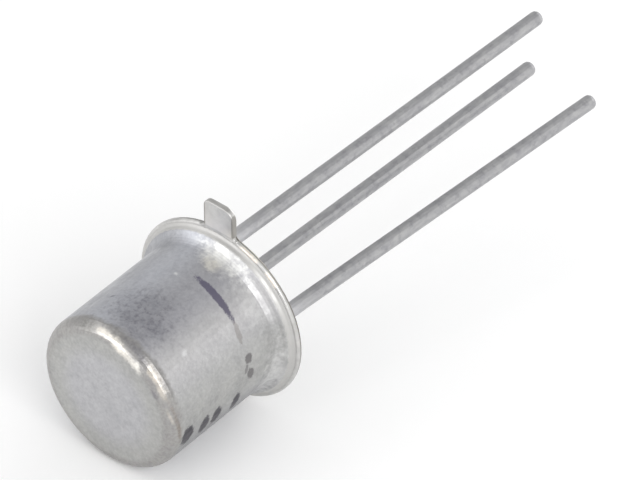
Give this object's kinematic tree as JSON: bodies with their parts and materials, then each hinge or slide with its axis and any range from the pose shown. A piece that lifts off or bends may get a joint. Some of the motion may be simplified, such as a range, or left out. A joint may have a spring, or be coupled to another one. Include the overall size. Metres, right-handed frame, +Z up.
{
  "type": "bipolar transistor",
  "caption": "Small bipolar transistor in a round flanged metal can with an index tab and long straight wire leads, lying on its side.",
  "frame": {"origin": "centre of the whole part's footprint, at the height of the surface that it lies on", "axes": "+X from the can towards the leads' tips, +Z up, the index tab pointing up, +Y completing a right-handed set"},
  "size_m": [0.019, 0.0056, 0.0065],
  "materials": {
    "plated_can": "matte nickel plate, faintly mottled",
    "plated_header": "satin plate, slightly warm",
    "plated_wire": "dull plated wire",
    "sealing_glass": "dark fired glass",
    "silicon": "polished",
    "gold_wire": "bright fine gold"
  },
  "bodies": {
    "root": {"cap": "plated_can", "header": "plated_header", "glass_seal": "sealing_glass", "emitter_lead": "plated_wire", "base_lead": "plated_wire", "collector_lead": "plated_wire", "die": "silicon", "emitter_bond_wire": "gold_wire", "base_bond_wire": "gold_wire"}
  },
  "joints": []
}
